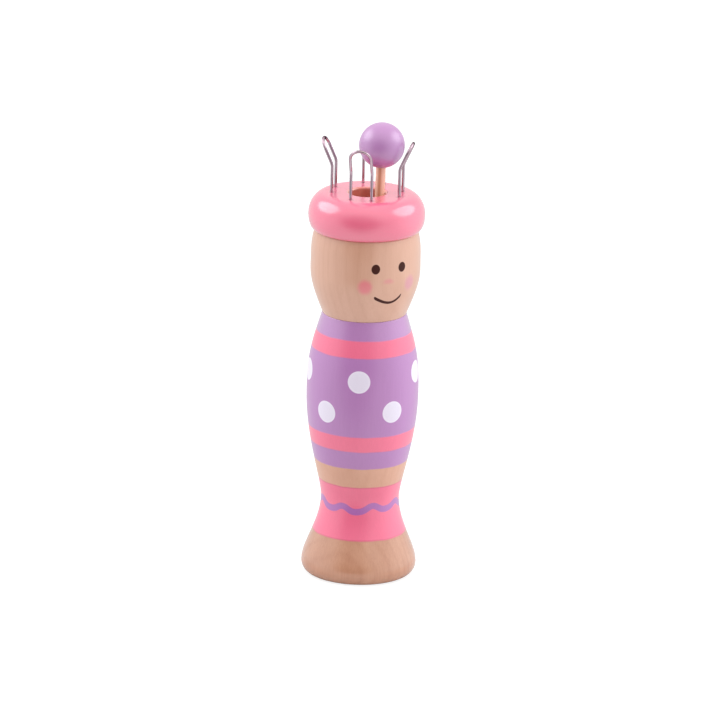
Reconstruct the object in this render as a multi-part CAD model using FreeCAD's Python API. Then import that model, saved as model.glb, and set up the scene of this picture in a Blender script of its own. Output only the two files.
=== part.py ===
import FreeCAD, Part
import math
import os

V = FreeCAD.Vector

# A turned wooden knitting dolly: a body, a head and a ring-shaped hat on one bore,
# four wire loops in the hat, and a loose needle standing in the bore.
# +Z is up, the origin is on the bore's axis in the plane of the foot, and the face looks to -Y.
# Lengths are millimetres and angles degrees. A height is measured from the foot unless it says otherwise.
# A slope is radius per height. A pull says how far an outline keeps its direction at a point,
# as a share of the rise to the next point, or from the last one.

# Bore and the turned joints between body, head and hat
bore_radius = 6.7
bore_mouth_round = 0.9
seat_radius = 9.6
seat_depth = 6.0
seat_clearance = 0.05
spigot_end_gap = 0.5
joint_edge_round = 0.35

# Body, one turned piece
body_height = 100.5
foot_face_radius = 18.4
foot_radius = 21.4
foot_bulge_height = 4.0
foot_pull = 0.24
waist_radius = 14.55
waist_height = 29.0
waist_pull_below = 0.41
waist_pull_above = 0.16
chest_radius = 20.8
chest_height = 69.5
chest_pull_below = 0.44
chest_pull_above = 0.42
neck_radius = 15.7
neck_slope = -0.31
neck_pull = 0.45

# Head, measured from the neck
head_height = 31.6
chin_slope = 0.42
chin_pull = 0.62
head_radius = 20.3
head_bulge_height = 21.0
head_pull_below = 0.28
head_pull_above = 0.38
crown_radius = 19.2
crown_slope = -0.26
crown_pull = 0.37

# Hat, measured from its underside
hat_height = 14.0
hat_radius = 21.6
hat_bulge_height = 5.8
hat_flat_radius = 15.0
hat_under_radius = 18.9

# Wire loops: legs in drilled holes, a bend outwards and a round bow
wire_radius = 0.55
loop_count = 4
loop_circle_radius = 12.6
first_loop_angle = -36.2
leg_gap = 7.8
leg_hole_depth = 8.0
leg_hole_clearance = 0.02
leg_height = 9.4
bend_radius = 4.5
bend_angle = 24.0
lean_length = 5.1

# Needle: a dowel with a ball on it, leaning on the rim of the hat
shaft_radius = 1.8
point_length = 14.0
point_radius = 0.9
point_pull = 0.3
ball_radius = 8.45
ball_above_hat = 17.9
ball_hole_past_centre = 3.0
needle_lean = 1.2
needle_azimuth = 64.0
needle_clearance = 0.3

# Worked out from the sizes above
neck_height = body_height
crown_height = neck_height + head_height
hat_top = crown_height + hat_height
ball_distance = hat_top + ball_above_hat
spigot_radius = seat_radius - seat_clearance
spigot_length = seat_depth - spigot_end_gap
loop_names = ["front", "right", "back", "left"]


def at(radius, height):
    """A point of a turned outline."""
    return V(radius, 0, height)


def heading(angle):
    """The level direction at an angle from the face, towards +X."""
    turn = math.radians(angle)
    return V(math.sin(turn), -math.cos(turn), 0)


def straight(start, end):
    return Part.LineSegment(start, end).toShape()


def rounded(start, corner, end):
    """A quarter of an ellipse that touches both sides of its corner."""
    curve = Part.BezierCurve()
    curve.setPoles([start, corner, end])
    curve.setWeight(2, math.sqrt(0.5))
    return curve.toShape()


def flowing(start, start_pull, end, end_pull, start_slope=0.0, end_slope=0.0):
    """A smooth stretch of outline between two points."""
    rise = end.z - start.z
    after_start = start + V(start_slope, 0, 1) * (start_pull * rise)
    before_end = end - V(end_slope, 0, 1) * (end_pull * rise)
    curve = Part.BezierCurve()
    curve.setPoles([start, after_start, before_end, end])
    return curve.toShape()


def turned(edges):
    """The solid that a closed outline sweeps around the bore's axis."""
    face = Part.Face(Part.Wire(edges))
    return face.revolve(V(0, 0, 0), V(0, 0, 1), 360)


def make_body():
    """Foot, waist and chest in one piece, with a seat for the head's lower spigot."""
    seat_floor = neck_height - seat_depth
    mouth = at(bore_radius + bore_mouth_round, 0)
    foot_edge = at(foot_face_radius, 0)
    foot = at(foot_radius, foot_bulge_height)
    waist = at(waist_radius, waist_height)
    chest = at(chest_radius, chest_height)
    neck = at(neck_radius, neck_height - joint_edge_round)
    neck_edge = at(neck_radius - joint_edge_round, neck_height)
    bore_foot = at(bore_radius, bore_mouth_round)
    return turned([
        straight(mouth, foot_edge),
        rounded(foot_edge, at(foot_radius, 0), foot),
        flowing(foot, foot_pull, waist, waist_pull_below),
        flowing(waist, waist_pull_above, chest, chest_pull_below),
        flowing(chest, chest_pull_above, neck, neck_pull, end_slope=neck_slope),
        rounded(neck, at(neck_radius, neck_height), neck_edge),
        straight(neck_edge, at(seat_radius, neck_height)),
        straight(at(seat_radius, neck_height), at(seat_radius, seat_floor)),
        straight(at(seat_radius, seat_floor), at(bore_radius, seat_floor)),
        straight(at(bore_radius, seat_floor), bore_foot),
        rounded(bore_foot, at(bore_radius, 0), mouth),
    ])


def make_head():
    """The barrel-shaped head, with a hollow spigot at each end."""
    spigot_foot = neck_height - spigot_length
    spigot_top = crown_height + spigot_length
    chin_edge = at(neck_radius - joint_edge_round, neck_height)
    chin = at(neck_radius, neck_height + joint_edge_round)
    cheek = at(head_radius, neck_height + head_bulge_height)
    crown = at(crown_radius, crown_height - joint_edge_round)
    crown_edge = at(crown_radius - joint_edge_round, crown_height)
    return turned([
        straight(at(bore_radius, spigot_foot), at(spigot_radius, spigot_foot)),
        straight(at(spigot_radius, spigot_foot), at(spigot_radius, neck_height)),
        straight(at(spigot_radius, neck_height), chin_edge),
        rounded(chin_edge, at(neck_radius, neck_height), chin),
        flowing(chin, chin_pull, cheek, head_pull_below, start_slope=chin_slope),
        flowing(cheek, head_pull_above, crown, crown_pull, end_slope=crown_slope),
        rounded(crown, at(crown_radius, crown_height), crown_edge),
        straight(crown_edge, at(spigot_radius, crown_height)),
        straight(at(spigot_radius, crown_height), at(spigot_radius, spigot_top)),
        straight(at(spigot_radius, spigot_top), at(bore_radius, spigot_top)),
        straight(at(bore_radius, spigot_top), at(bore_radius, spigot_foot)),
    ])


def leg_places():
    """The axis of each wire leg, as points at the level of the hat's top."""
    places = []
    for number in range(loop_count):
        angle = first_loop_angle + number * 360 / loop_count
        outward = heading(angle)
        sideways = heading(angle + 90)
        for side in (-1, 1):
            level = outward * loop_circle_radius + sideways * (side * leg_gap / 2)
            places.append(level + V(0, 0, hat_top))
    return places


def make_hat():
    """The thick rounded ring, with a seat underneath and two drilled holes for each wire loop."""
    seat_top = crown_height + seat_depth
    under = at(hat_under_radius, crown_height)
    bulge = at(hat_radius, crown_height + hat_bulge_height)
    flat = at(hat_flat_radius, hat_top)
    rim = at(bore_radius + bore_mouth_round, hat_top)
    bore_rim = at(bore_radius, hat_top - bore_mouth_round)
    ring = turned([
        straight(at(seat_radius, crown_height), under),
        rounded(under, at(hat_radius, crown_height), bulge),
        rounded(bulge, at(hat_radius, hat_top), flat),
        straight(flat, rim),
        rounded(rim, at(bore_radius, hat_top), bore_rim),
        straight(bore_rim, at(bore_radius, seat_top)),
        straight(at(bore_radius, seat_top), at(seat_radius, seat_top)),
        straight(at(seat_radius, seat_top), at(seat_radius, crown_height)),
    ])
    hole_radius = wire_radius + leg_hole_clearance
    holes = [
        Part.makeCylinder(hole_radius, leg_hole_depth, place, V(0, 0, -1))
        for place in leg_places()
    ]
    return ring.cut(holes)


def loop_path():
    """The wire's centre line in its own frame: +X outwards, +Y sideways, +Z up from the hat's top."""
    bend = math.radians(bend_angle)
    rising = V(math.sin(bend), 0, math.cos(bend))
    half = []
    for side in (-1, 1):
        y = side * leg_gap / 2
        root = V(loop_circle_radius, y, -leg_hole_depth)
        bend_start = V(loop_circle_radius, y, leg_height)
        bend_centre = bend_start + V(bend_radius, 0, 0)
        bend_middle = bend_centre + V(-math.cos(bend / 2), 0, math.sin(bend / 2)) * bend_radius
        bend_end = bend_centre + V(-math.cos(bend), 0, math.sin(bend)) * bend_radius
        bow_start = bend_end + rising * lean_length
        edges = [
            straight(root, bend_start),
            Part.Arc(bend_start, bend_middle, bend_end).toShape(),
            straight(bend_end, bow_start),
        ]
        half.append((edges, bow_start))
    left_edges, left_bow = half[0]
    right_edges, right_bow = half[1]
    bow_top = (left_bow + right_bow) * 0.5 + rising * (leg_gap / 2)
    bow = Part.Arc(left_bow, bow_top, right_bow).toShape()
    return Part.Wire(left_edges + [bow] + right_edges[::-1])


def make_loop(angle):
    """One wire loop, seated in its two holes and facing outwards at an angle from the face."""
    path = loop_path()
    root = V(loop_circle_radius, -leg_gap / 2, -leg_hole_depth)
    section = Part.Wire(Part.makeCircle(wire_radius, root, V(0, 0, 1)))
    wire = path.makePipe(Part.Face(section))
    expected = path.Length * math.pi * wire_radius ** 2
    print("wire volume against section times length:", round(wire.Volume / expected, 4))
    wire.rotate(V(0, 0, 0), V(0, 0, 1), angle - 90)
    wire.translate(V(0, 0, hat_top))
    return wire


def lean(piece):
    """Moves a needle piece from its own upright frame, tip at the origin, to where it stands."""
    towards = heading(needle_azimuth)
    rim_offset = bore_radius - shaft_radius - needle_clearance
    tip_offset = rim_offset - math.tan(math.radians(needle_lean)) * (hat_top - point_radius)
    piece = piece.copy()
    piece.translate(V(0, 0, -point_radius))
    piece.rotate(V(0, 0, 0), V(0, 0, 1).cross(towards), needle_lean)
    piece.translate(towards * tip_offset + V(0, 0, point_radius))
    return piece


def make_needle_shaft():
    """The dowel, drawn down to a rounded point at its lower end."""
    shaft_top = ball_distance + ball_hole_past_centre
    tip_side = at(point_radius, point_radius)
    shoulder = at(shaft_radius, point_length)
    return turned([
        rounded(at(0, 0), at(point_radius, 0), tip_side),
        flowing(tip_side, point_pull, shoulder, point_pull),
        straight(shoulder, at(shaft_radius, shaft_top)),
        straight(at(shaft_radius, shaft_top), at(0, shaft_top)),
        straight(at(0, shaft_top), at(0, 0)),
    ])


def make_needle_ball():
    """The ball, with a blind hole for the dowel."""
    ball = Part.makeSphere(ball_radius, at(0, ball_distance))
    hole_length = ball_radius + ball_hole_past_centre
    hole_foot = at(0, ball_distance - ball_radius)
    return ball.cut(Part.makeCylinder(shaft_radius, hole_length, hole_foot))


def build():
    """Every sub-part by its node's name."""
    parts = {
        "body": make_body(),
        "head": make_head(),
        "hat": make_hat(),
        "needle_shaft": lean(make_needle_shaft()),
        "needle_ball": lean(make_needle_ball()),
    }
    for number, name in enumerate(loop_names):
        angle = first_loop_angle + number * 360 / loop_count
        parts["staple_" + name] = make_loop(angle)
    return parts


os.makedirs("parts", exist_ok=True)
for node, shape in build().items():
    shape.exportStep("parts/" + node + ".step")
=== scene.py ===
import bpy
import math
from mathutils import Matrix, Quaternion, Vector

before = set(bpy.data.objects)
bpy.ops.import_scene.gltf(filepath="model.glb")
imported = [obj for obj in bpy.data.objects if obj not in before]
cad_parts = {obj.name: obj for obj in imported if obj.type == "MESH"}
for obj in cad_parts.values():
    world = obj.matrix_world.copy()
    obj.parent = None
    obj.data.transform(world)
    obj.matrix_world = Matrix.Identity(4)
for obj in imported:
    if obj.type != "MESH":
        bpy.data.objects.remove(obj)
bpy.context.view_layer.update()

# A painted wooden knitting dolly with its needle. Blender works in metres, but the materials measure
# in millimetres and degrees, as the drawing does: a height is above the foot, and an angle runs round
# the bore's axis from the face, which looks to -Y, towards +X.

# The photograph's camera
photo_azimuth = -26.0
photo_elevation = 16.7
photo_roll = 1.38
camera_distance = 2.2604
camera_lens = 305.0
aim_right = -0.00118
aim_height = 0.08154

# Body: the painted bands, from the foot up
skirt_bottom = 16.4
skirt_top = 36.8
lilac_bottom = 44.5
lower_stripe = (51.5, 57.5)
upper_stripe = (87.6, 93.8)
paint_limit_radius = 12.0

# Body: the wavy line on the skirt. Each swing is its count of waves round the body, its height and
# the angle of one of its crests. The first is the wave itself, the others are the painter's hand.
wave_height = 28.07
wave_swings = [(8, 0.95, -6.7), (3, 0.33, 17.0), (16, 0.14, 16.0)]
wave_width = 2.4
waist_radius = 14.6

# Body: the dots, as places of an angle and a height
dot_diameter = 8.3
upper_dots = [(-29.8, 79.0), (46.5, 79.6), (-103.4, 79.1), (115.0, 79.3), (186.0, 79.2)]
lower_dots = [(-65.8, 66.1), (7.0, 67.0), (78.0, 66.5), (150.0, 66.8), (-138.0, 66.5)]

# Head: the face. A place is an angle and a height, and a size is a width and a height.
face_radius = 19.0
face_half_angle = 60
eye_angle = 15.15
eye_height = 122.15
eye_size = (3.25, 3.75)
cheek_angles = (-26.0, 27.5)
cheek_height = 115.3
cheek_size = (4.9, 5.3)
nose_place = (-1.0, 117.3)
nose_size = (4.0, 1.9)
smile_middle = 0.7
smile_half_angle = 15.0
smile_bottom = 108.75
smile_rise = 2.05
smile_skew = 0.3
smile_width = (1.15, 0.9)  # at its left and right ends

# Hat: the wire legs' places
hat_top = 146.1
bore_radius = 6.7
leg_circle_radius = 12.6
leg_half_gap = 3.9
first_loop_angle = -36.2
wire_radius = 0.55

# Needle: its lean away from the bore's axis, and how far from that axis it stands at the hat's top
needle_lean = 1.2
needle_azimuth = 64.0
needle_offset = 4.6

# Beech: how many radians of a ring's wave there are to a millimetre, and each piece's pith
ring_turn = 2.1
body_pith = (46, 30)
head_pith = (-34, 52)
hat_pith = (30, 44)
ball_pith = (22, 31)
dowel_pith = (9, 16)

# Studio, with azimuths from the camera's towards the picture's right. The room is dark round the
# photographer and brightest to the sides, and the camera itself sees it white. A lobe is an azimuth,
# an elevation, a reach and a brightness. A softbox is an azimuth, an elevation, a roll and a power.
# A floor is a radius and a height, in metres, a grey and a glow.
room_light = 0.84
room_right = 0.60
room_left = 0.40
room_floor = 0.11
side_sharpness = 4.0
shown_room = 1.1
dark_lobe = (-12, 8, 50)
bright_lobes = [(0, 55, 60, 0.55), (0, -45, 60, 0.27), (180, 62, 50, 0.35)]
softboxes = {"softbox_left": (-104, 36, 12, 5.8), "softbox_right": (97, 35, -12, 5.0)}
softbox_size = (1.15, 0.8)
softbox_distance = 1.2
side_tint = (0.94, 1.0, 1.02)
shown_floor = (6.0, -0.0001, 0.3, 0.78)
near_floor = (0.06, -0.0002, 0.85, 0.0)

# Colours, as linear red, green and blue
wood_light = (0.75, 0.41, 0.285, 1)
wood_dark = (0.63, 0.31, 0.20, 1)
foot_light = (0.67, 0.33, 0.20, 1)
foot_dark = (0.47, 0.18, 0.09, 1)
band_light = (0.78, 0.41, 0.28, 1)
band_dark = (0.67, 0.32, 0.205, 1)
lilac = (0.505, 0.213, 0.505, 1)
pink = (0.98, 0.168, 0.295, 1)
skirt_edge = (0.45, 0.08, 0.11, 1)
hat_pink = (0.92, 0.16, 0.27, 1)
wave_lilac = (0.47, 0.15, 0.47, 1)
ball_lilac = (0.49, 0.20, 0.48, 1)
white = (0.86, 0.77, 0.90, 1)
# The dots' raised rims, painted lighter as a highlight
dot_rim_highlight = (0.92, 0.82, 0.93, 1)
ink = (0.055, 0.010, 0.006, 1)
blush = (0.80, 0.15, 0.20, 1)
nose_blush = (0.76, 0.19, 0.24, 1)
# The right cheek's blush, paler and more lilac as painted sheen where that cheek turns away from the
# camera
blush_with_painted_sheen = (0.68, 0.22, 0.34, 1)
bore_wood = (0.70, 0.185, 0.135, 1)
dowel_light = (1.0, 0.67, 0.54, 1)
dowel_dark = (0.88, 0.47, 0.29, 1)
# A streak of painted shade along the dowel, just left of its middle as the camera sees it
painted_shade_streak = (0.58, 0.24, 0.11, 1)
# Painted shade in the gap round each wire leg
hole_shade = (0.30, 0.04, 0.06, 1)
# Thin lacquer on the bore's rounded rim, painted lighter as a highlight
thin_lacquer_and_rim_highlight = (0.95, 0.36, 0.25, 1)
# Both wire colours carry a mauve tint, painted reflection of the pink around the wires
tarnish_and_pink_reflection = (0.38, 0.26, 0.31, 1)
nickel_and_pink_reflection = (0.62, 0.46, 0.52, 1)


class Value:
    """What a node gives, with the usual signs of arithmetic."""

    def __init__(self, nodes, socket):
        self.nodes = nodes
        self.socket = socket

    def __add__(self, other):
        return self.nodes.math("ADD", self, other)

    def __sub__(self, other):
        return self.nodes.math("SUBTRACT", self, other)

    def __mul__(self, other):
        return self.nodes.math("MULTIPLY", self, other)

    def __truediv__(self, other):
        return self.nodes.math("DIVIDE", self, other)

    def __pow__(self, other):
        return self.nodes.math("POWER", self, other)

    def __neg__(self):
        return self * -1

    __radd__ = __add__
    __rmul__ = __mul__

    def __rsub__(self, other):
        return self.nodes.math("SUBTRACT", other, self)


class Nodes:
    """A node tree that is built from the end of one node to the next."""

    def __init__(self, tree):
        self.tree = tree
        tree.nodes.clear()

    def plug(self, value, socket):
        if isinstance(value, Value):
            self.tree.links.new(value.socket, socket)
        else:
            socket.default_value = value

    def node(self, kind, inputs=None, output=0, **settings):
        made = self.tree.nodes.new("ShaderNode" + kind)
        for name, value in settings.items():
            setattr(made, name, value)
        for key, value in (inputs or {}).items():
            self.plug(value, made.inputs[key])
        return Value(self, made.outputs[output]) if made.outputs else None

    def math(self, operation, *values):
        return self.node("Math", dict(enumerate(values)), operation=operation)

    def vector_math(self, operation, *values):
        return self.node("VectorMath", dict(enumerate(values)), operation=operation)

    def facing(self, first, second):
        """The cosine of the angle between two directions."""
        return self.node("VectorMath", {0: first, 1: second}, output="Value", operation="DOT_PRODUCT")

    def millimetres(self):
        """The place on the piece at rest, in millimetres."""
        place = self.node("TexCoord", output="Object")
        return self.vector_math("MULTIPLY", place, (1000, 1000, 1000))

    def split(self, vector):
        made = self.tree.nodes.new("ShaderNodeSeparateXYZ")
        self.plug(vector, made.inputs[0])
        return [Value(self, socket) for socket in made.outputs]

    def noise(self, vector, per_axis, detail=2.0, roughness=0.5):
        """Smooth noise from 0 to 1, with its waves per millimetre along each axis."""
        scaled = self.vector_math("MULTIPLY", vector, per_axis)
        inputs = {"Vector": scaled, "Scale": 1.0, "Detail": detail, "Roughness": roughness}
        return self.node("TexNoise", inputs)

    def above(self, value, edge, softness):
        """0 below an edge, 1 above it, and a smooth step between."""
        inputs = {0: value, 1: edge - softness / 2, 2: edge + softness / 2, 3: 0.0, 4: 1.0}
        return self.node("MapRange", inputs, interpolation_type="SMOOTHSTEP")

    def below(self, value, edge, softness):
        return 1 - self.above(value, edge, softness)

    def between(self, value, low, high, softness):
        return self.above(value, low, softness) * self.below(value, high, softness)

    def largest(self, first, second):
        return self.math("MAXIMUM", first, second)

    def smallest(self, first, second):
        return self.math("MINIMUM", first, second)

    def mix(self, share, first, second):
        """The first colour where the share is 0 and the second where it is 1."""
        inputs = {"Factor": share, 6: first, 7: second}
        return self.node("Mix", inputs, output=2, data_type="RGBA")

    def hypotenuse(self, first, second):
        return (first * first + second * second) ** 0.5


class Surface:
    """A material in the making: wood, then the layers of paint on it."""

    def __init__(self, name):
        self.material = bpy.data.materials.new(name)
        self.material.use_nodes = True
        self.nodes = Nodes(self.material.node_tree)
        self.place = self.nodes.millimetres()
        self.x, self.y, self.z = self.nodes.split(self.place)
        self.radius = self.nodes.hypotenuse(self.x, self.y)
        turn = self.nodes.math("ARCTAN2", self.x, -self.y)
        self.angle = turn * (180 / math.pi)
        self.colour = (0.5, 0.5, 0.5, 1)
        self.height = 0.0
        self.roughness = 0.5
        self.gloss = 1.0

    def along(self, angle):
        """Millimetres round the piece from an angle."""
        turned = self.nodes.math("WRAP", self.angle - angle, 180, -180)
        return turned * (math.pi / 180) * self.radius

    def paint(self, mask, colour, thickness=0.0, roughness=None, hides_grain=0.7, gloss=None):
        """Lays a coat over what is there. A thickness is in millimetres, and hides_grain is the share
        of the relief below that the coat fills."""
        self.colour = self.nodes.mix(mask, self.colour, colour)
        self.height = self.height * (1 - mask * hides_grain) + mask * thickness
        if roughness is not None:
            self.roughness = self.roughness * (1 - mask) + mask * roughness
        if gloss is not None:
            self.varnish(mask, gloss)

    def varnish(self, mask, gloss, thickness=0.0):
        """Sets how strong the clear coat is, and may thicken it by some millimetres."""
        self.gloss = mask * gloss + (1 - mask) * self.gloss
        self.height = self.height + mask * thickness

    def finish(self, **sockets):
        """Closes the material, with plain values for the shader's own sockets."""
        relief = {"Height": self.height, "Distance": 0.001, "Strength": 1.0}
        inputs = {
            "Base Color": self.colour,
            "Roughness": self.roughness,
            "Coat Weight": self.gloss,
            "Normal": self.nodes.node("Bump", relief),
        }
        for name, value in sockets.items():
            inputs[name.replace("_", " ")] = value
        shader = self.nodes.node("BsdfPrincipled", inputs)
        self.nodes.node("OutputMaterial", {"Surface": shader})
        return self.material


def beech(surface, pith, light, dark):
    """Turned beech: rings round a pith beside the axis, long fibres, and the small ray flecks."""
    n = surface.nodes
    drift = n.noise(surface.place, (0.03, 0.03, 0.011))
    pith_x, pith_y = pith
    ring = n.hypotenuse(surface.x - pith_x, surface.y - pith_y) + drift * 9
    rings = n.math("SINE", ring * ring_turn) * 0.5 + 0.5
    fibre = n.noise(surface.place, (1.9, 1.9, 0.06), detail=3, roughness=0.6)
    broad = n.noise(surface.place, (0.11, 0.11, 0.02), detail=2)
    fleck_place = n.vector_math("MULTIPLY", surface.place, (1.1, 1.1, 0.32))
    fleck = n.node("TexVoronoi", {"Vector": fleck_place, "Scale": 1.0}, output="Distance")
    flecks = n.below(fleck, 0.15, 0.14)
    shade = rings ** 3 * 0.16 + (fibre - 0.5) * 0.6
    shade = shade + (broad - 0.5) * 1.0 + flecks * 0.18 + 0.42
    surface.colour = n.mix(n.smallest(n.largest(shade, 0.0), 1.0), light, dark)
    surface.height = fibre * 0.02 - flecks * 0.006
    surface.roughness = 0.42 + (fibre - 0.5) * 0.18
    surface.fibre = fibre


def paint_edge_wobble(surface):
    """How far a painted edge strays from its line, in millimetres."""
    return (surface.nodes.noise(surface.place, (0.16, 0.16, 0.05), detail=3) - 0.5) * 0.5


def tinted(surface, colour, strength=0.12):
    """A paint's colour, slightly uneven, with the wood's fibres showing faintly through it."""
    n = surface.nodes
    cloud = n.noise(surface.place, (0.09, 0.09, 0.05), detail=2)
    dark = tuple(channel * 0.80 for channel in colour[:3]) + (1,)
    share = (cloud - 0.5) * strength * 2 + (surface.fibre - 0.5) * strength * 4 + strength * 2
    return n.mix(n.smallest(n.largest(share, 0.0), 1.0), colour, dark)


def wavy_line(surface, level):
    """How far a place lies from the wavy line's middle, in millimetres."""
    n = surface.nodes
    middle = wave_height
    slope = 0.0
    for count, swing, crest in wave_swings:
        phase = (surface.angle - crest) * (math.radians(1) * count)
        middle = n.math("COSINE", phase) * swing + middle
        slope = n.math("SINE", phase) * (swing * count / waist_radius) + slope
    return n.math("ABSOLUTE", level - middle) / (slope * slope + 1) ** 0.5


def painted_body():
    """Beech with lilac and pink bands, two rows of white dots and a wavy line."""
    s = Surface("body_paint")
    n = s.nodes
    s.gloss = 0.97
    beech(s, body_pith, foot_light, foot_dark)
    foot_wood = s.colour
    beech(s, body_pith, band_light, band_dark)
    outside = n.above(s.radius, paint_limit_radius, 0.4)
    level = s.z + paint_edge_wobble(s)
    edge = 0.55
    above_foot = n.above(level, skirt_bottom, edge)
    s.colour = n.mix(above_foot, foot_wood, s.colour)
    s.varnish(above_foot, 0.5)

    s.paint(n.above(level, lilac_bottom, edge) * outside, tinted(s, lilac), 0.04, 0.34)
    stripes = n.largest(n.between(level, *lower_stripe, edge), n.between(level, *upper_stripe, edge))
    s.paint(stripes * outside, tinted(s, pink), 0.09, 0.34)
    s.varnish(n.above(level, upper_stripe[1], edge) * outside, 1.0, 0.04)
    skirt = n.between(level, skirt_bottom, skirt_top, edge)
    s.paint(skirt * outside, tinted(s, pink), 0.06, 0.32)
    for border in (skirt_bottom + 0.15, skirt_top - 0.1):
        rim = n.between(level, border - 0.35, border + 0.25, 0.4)
        s.paint(rim * outside * 0.3, skirt_edge, 0.0)

    wave = n.below(wavy_line(s, level), wave_width / 2, 0.28)
    s.paint(wave, tinted(s, wave_lilac), 0.05, 0.34)

    far = 100.0
    for angle, height in upper_dots + lower_dots:
        far = n.smallest(n.hypotenuse(s.along(angle), s.z - height), far)
    far = far + paint_edge_wobble(s) * 0.4
    s.paint(n.below(far, dot_diameter / 2, 0.28), tinted(s, white, 0.05), 0.05, 0.36, gloss=0.15)
    # A low ridge of paint round each dot's edge, its colour painted lighter as a highlight.
    rim = n.between(far, dot_diameter / 2 - 0.6, dot_diameter / 2 - 0.05, 0.35)
    s.paint(rim * 0.5, dot_rim_highlight, 0.012, hides_grain=0.0)
    return s.finish(Coat_Roughness=0.14, Coat_IOR=1.7)


def painted_head():
    """Beech with two eyes, rosy cheeks, a nose and a smile."""
    s = Surface("head_paint")
    n = s.nodes
    beech(s, head_pith, wood_light, wood_dark)
    in_front = n.below(n.math("ABSOLUTE", s.angle), face_half_angle, 1.0)

    spread = n.noise(s.place, (0.9, 0.9, 0.9), detail=2) - 0.5
    for cheek_angle in cheek_angles:
        across = s.along(cheek_angle) / (cheek_size[0] / 2)
        up = (s.z - cheek_height) / (cheek_size[1] / 2)
        # The right cheek turns away from the camera: its paler, more lilac blush and thinner cover
        # are painted sheen.
        colour, cover = (blush_with_painted_sheen, 0.62) if cheek_angle > 0 else (blush, 0.8)
        cheek = n.below(n.hypotenuse(across, up) + spread * 0.25, 1.0, 0.9)
        s.paint(cheek * cover, colour, 0.01)
    nose_angle, nose_height = nose_place
    nose_across = s.along(nose_angle)
    nose_up = s.z - nose_height + nose_across * nose_across * 0.08 - 0.1
    nose = n.hypotenuse(nose_across / (nose_size[0] / 2), nose_up / (nose_size[1] / 2))
    s.paint(n.below(nose + spread * 0.3, 0.95, 1.3) * in_front * 0.5, nose_blush, 0.01)

    for side in (-1, 1):
        across = s.along(side * eye_angle) / (eye_size[0] / 2)
        up = (s.z - eye_height) / (eye_size[1] / 2)
        s.paint(n.below(n.hypotenuse(across, up), 1.0, 0.14), ink, 0.04, 0.3, gloss=0.1)

    place = (s.angle - smile_middle) / smile_half_angle
    bow = place * place
    curve = (bow - place * (1 - bow) * smile_skew) * smile_rise + smile_bottom
    rise = place * 2 + (bow * 3 - 1) * smile_skew
    reach = math.radians(smile_half_angle) * face_radius
    steepness = rise * (smile_rise / reach)
    away = n.math("ABSOLUTE", s.z - curve) / (steepness * steepness + 1) ** 0.5
    left_width, right_width = smile_width
    half_width = (left_width + right_width) / 4 - place * ((left_width - right_width) / 4)
    past_end = n.largest(n.math("ABSOLUTE", place) - 1, 0.0) * reach
    line = n.below(n.hypotenuse(away, past_end) - half_width, 0.0, 0.2)
    s.paint(line * in_front, ink, 0.04, 0.3, gloss=0.1)
    return s.finish(Coat_Roughness=0.28, Coat_IOR=1.8, Specular_IOR_Level=0.1)


def hat_lacquer():
    """Thick pink lacquer, thinner in the bore, with a small ridge round each wire leg."""
    s = Surface("hat_paint")
    n = s.nodes
    beech(s, hat_pith, wood_light, wood_dark)
    outside = n.above(s.radius, bore_radius + 0.15, 0.3)
    s.paint(1 - outside, bore_wood, 0.0, 0.6)
    s.paint(outside, tinted(s, hat_pink, 0.05), 0.05, 0.25, hides_grain=0.93)
    # The bore's rounded rim: thin lacquer over the wood, painted lighter as a highlight.
    mouth = n.between(s.radius, bore_radius + 0.1, bore_radius + 0.75, 0.3)
    s.paint(mouth * n.above(s.z, hat_top - 2, 1) * 0.75, thin_lacquer_and_rim_highlight, 0.0)

    turned = n.math("WRAP", s.angle - first_loop_angle, 45, -45) * (math.pi / 180)
    outward = s.radius * n.math("COSINE", turned) - leg_circle_radius
    sideways = n.math("ABSOLUTE", s.radius * n.math("SINE", turned)) - leg_half_gap
    from_leg = n.hypotenuse(outward, sideways)
    on_top = n.above(s.z, hat_top - 1.5, 0.5)
    ridge = n.below(from_leg, wire_radius + 0.55, 0.6) * on_top
    s.height = s.height + ridge * 0.14
    # Painted shade: the gap round each wire leg is darkened and sunk a little.
    gap = n.below(from_leg, wire_radius + 0.16, 0.16) * on_top
    s.paint(gap * 0.7, hole_shade, -0.1)
    return s.finish(Coat_Roughness=0.19, Coat_IOR=1.72)


def ball_lacquer():
    """Satin lilac paint on a small turned ball."""
    s = Surface("ball_paint")
    beech(s, ball_pith, wood_light, wood_dark)
    s.paint(1.0, tinted(s, ball_lilac, 0.08), 0.0, 0.42, hides_grain=0.8)
    return s.finish(Coat_Roughness=0.36, Coat_IOR=1.75)


def dowel_wood():
    """A bare dowel, redder than the beech, with a streak of painted shade along it."""
    s = Surface("dowel_wood")
    n = s.nodes
    beech(s, dowel_pith, dowel_light, dowel_dark)
    # Painted shade: a darker streak along the shaft, just left of its middle as the camera sees it.
    turn = math.radians(needle_azimuth)
    outward = s.x * math.sin(turn) - s.y * math.cos(turn)
    across = outward - (s.z - hat_top) * math.tan(math.radians(needle_lean)) - needle_offset
    from_shade_streak = n.math("ABSOLUTE", across + 0.35 + (s.fibre - 0.5) * 0.5)
    s.paint(n.below(from_shade_streak, 0.55, 0.8) * 0.75, painted_shade_streak, hides_grain=0.0)
    s.roughness = s.roughness + 0.1
    s.gloss = 0.2
    return s.finish(Coat_Roughness=0.4)


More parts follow.
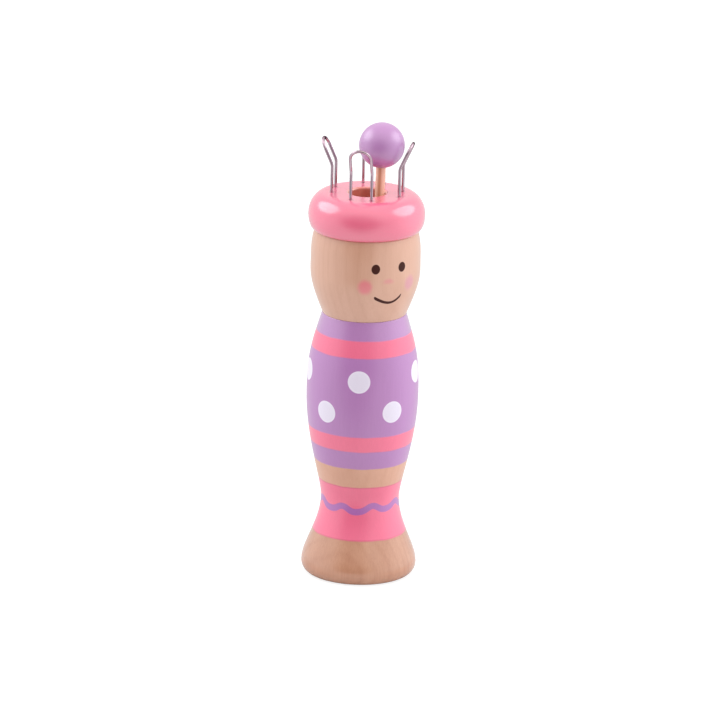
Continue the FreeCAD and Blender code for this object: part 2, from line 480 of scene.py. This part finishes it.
def bright_wire():
    """Nickel-plated wire, with fine lines from drawing and a slightly uneven plating."""
    s = Surface("bright_wire")
    n = s.nodes
    cloud = n.noise(s.place, (0.5, 0.5, 0.25), detail=3)
    lines = n.noise(s.place, (6.0, 6.0, 0.5), detail=2)
    # The plating's mauve tint, in both colours, is painted reflection of the pink around the wire.
    s.colour = n.mix(cloud, nickel_and_pink_reflection, tarnish_and_pink_reflection)
    s.roughness = 0.12 + (cloud - 0.5) * 0.1 + (lines - 0.5) * 0.08
    s.height = lines * 0.004
    s.gloss = 0.0
    return s.finish(Metallic=1.0, Specular_Tint=(0.05, 0.03, 0.04, 1))


def back_vector(azimuth, elevation):
    """From the object towards a viewer, with the azimuth from the face towards +X."""
    turn = math.radians(azimuth)
    rise = math.radians(elevation)
    level = math.cos(rise)
    return Vector((math.sin(turn) * level, -math.cos(turn) * level, math.sin(rise)))


def dress_nodes():
    """Gives each of the part's own nodes its material."""
    wire = bright_wire()
    finishes = {
        "body": painted_body(),
        "head": painted_head(),
        "hat": hat_lacquer(),
        "needle_shaft": dowel_wood(),
        "needle_ball": ball_lacquer(),
        "staple_front": wire,
        "staple_right": wire,
        "staple_back": wire,
        "staple_left": wire,
    }
    for name, material in finishes.items():
        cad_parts[name].data.materials[0] = material


def make_camera():
    """The photograph's viewpoint: a long lens from slightly above, rolled a little."""
    right = math.radians(photo_azimuth)
    aim = Vector((math.cos(right) * aim_right, math.sin(right) * aim_right, aim_height))
    back = back_vector(photo_azimuth, photo_elevation)
    data = bpy.data.cameras.new("photo_camera")
    data.lens = camera_lens
    data.sensor_width = 36.0
    data.clip_start = 0.05
    data.clip_end = 50.0
    camera = bpy.data.objects.new("photo_camera", data)
    camera.location = aim + back * camera_distance
    camera.rotation_mode = "QUATERNION"
    upright = (-back).to_track_quat("-Z", "Y")
    camera.rotation_quaternion = upright @ Quaternion((0, 0, 1), math.radians(photo_roll))
    bpy.context.scene.collection.objects.link(camera)
    bpy.context.scene.camera = camera


def make_softbox(name, azimuth, elevation, roll, power):
    """An oval soft light that looks at the middle of the object."""
    data = bpy.data.lights.new(name, "AREA")
    data.shape = "ELLIPSE"
    data.size, data.size_y = softbox_size
    data.energy = power
    data.color = side_tint
    light = bpy.data.objects.new(name, data)
    back = back_vector(azimuth, elevation)
    light.location = Vector((0, 0, aim_height)) + back * softbox_distance
    light.rotation_mode = "QUATERNION"
    upright = (-back).to_track_quat("-Z", "Y")
    light.rotation_quaternion = upright @ Quaternion((0, 0, 1), math.radians(roll))
    bpy.context.scene.collection.objects.link(light)


def lobe(nodes, direction, azimuth, elevation, reach):
    """1 in a direction, falling smoothly to 0 at an angle from it."""
    towards = back_vector(photo_azimuth + azimuth, elevation)
    facing = nodes.facing(direction, towards)
    inputs = {0: facing, 1: math.cos(math.radians(reach)), 2: 1.0, 3: 0.0, 4: 1.0}
    return nodes.node("MapRange", inputs, interpolation_type="SMOOTHSTEP")


def make_world():
    """The room's light, as a brightness for each direction."""
    world = bpy.data.worlds.new("pale_room")
    world.use_nodes = True
    bpy.context.scene.world = world
    n = Nodes(world.node_tree)
    direction = n.node("TexCoord", output="Generated")
    rise = n.split(direction)[2]
    rightwards = back_vector(photo_azimuth + 90, 0)
    right = n.facing(direction, rightwards)
    brightness = (1 - lobe(n, direction, *dark_lobe)) * room_light
    brightness = brightness + n.largest(right, 0.0) ** side_sharpness * room_right
    brightness = brightness + n.largest(-right, 0.0) ** side_sharpness * room_left
    brightness = brightness + n.largest(-rise, 0.0) * room_floor
    for azimuth, elevation, reach, extra in bright_lobes:
        brightness = brightness + lobe(n, direction, azimuth, elevation, reach) * extra
    seen = n.node("LightPath", output="Is Camera Ray")
    brightness = brightness * (1 - seen) + seen * shown_room
    tint = n.mix(right * right, (1, 1, 1, 1), side_tint + (1,))
    shader = n.node("Background", {"Color": tint, "Strength": brightness})
    n.node("OutputWorld", {"Surface": shader})


def flat_material(name, grey, glow):
    """A plain grey material for the studio, with some light of its own."""
    material = bpy.data.materials.new(name)
    material.use_nodes = True
    n = Nodes(material.node_tree)
    inputs = {
        "Base Color": (grey, grey, grey, 1),
        "Roughness": 0.9,
        "Emission Color": (1, 1, 1, 1),
        "Emission Strength": glow,
    }
    n.node("OutputMaterial", {"Surface": n.node("BsdfPrincipled", inputs)})
    return material


def make_floor(name, radius, height, grey, glow):
    """A round floor, just under the foot."""
    mesh = bpy.data.meshes.new(name)
    sides = 64
    turns = [number * 2 * math.pi / sides for number in range(sides)]
    corners = [(math.cos(turn) * radius, math.sin(turn) * radius, height) for turn in turns]
    mesh.from_pydata(corners, [], [range(sides)])
    mesh.materials.append(flat_material(name, grey, glow))
    floor = bpy.data.objects.new(name, mesh)
    bpy.context.scene.collection.objects.link(floor)
    return floor


def make_studio():
    """A white floor for the camera, the piece of table that shades the foot, and two softboxes."""
    shown = make_floor("floor_shown", *shown_floor)
    shown.visible_diffuse = False
    shown.visible_glossy = False
    near = make_floor("floor_near", *near_floor)
    near.visible_camera = False
    for name, (azimuth, elevation, roll, power) in softboxes.items():
        make_softbox(name, photo_azimuth + azimuth, elevation, roll, power)
    bpy.context.scene.view_settings.view_transform = "Standard"


dress_nodes()
make_camera()
make_world()
make_studio()
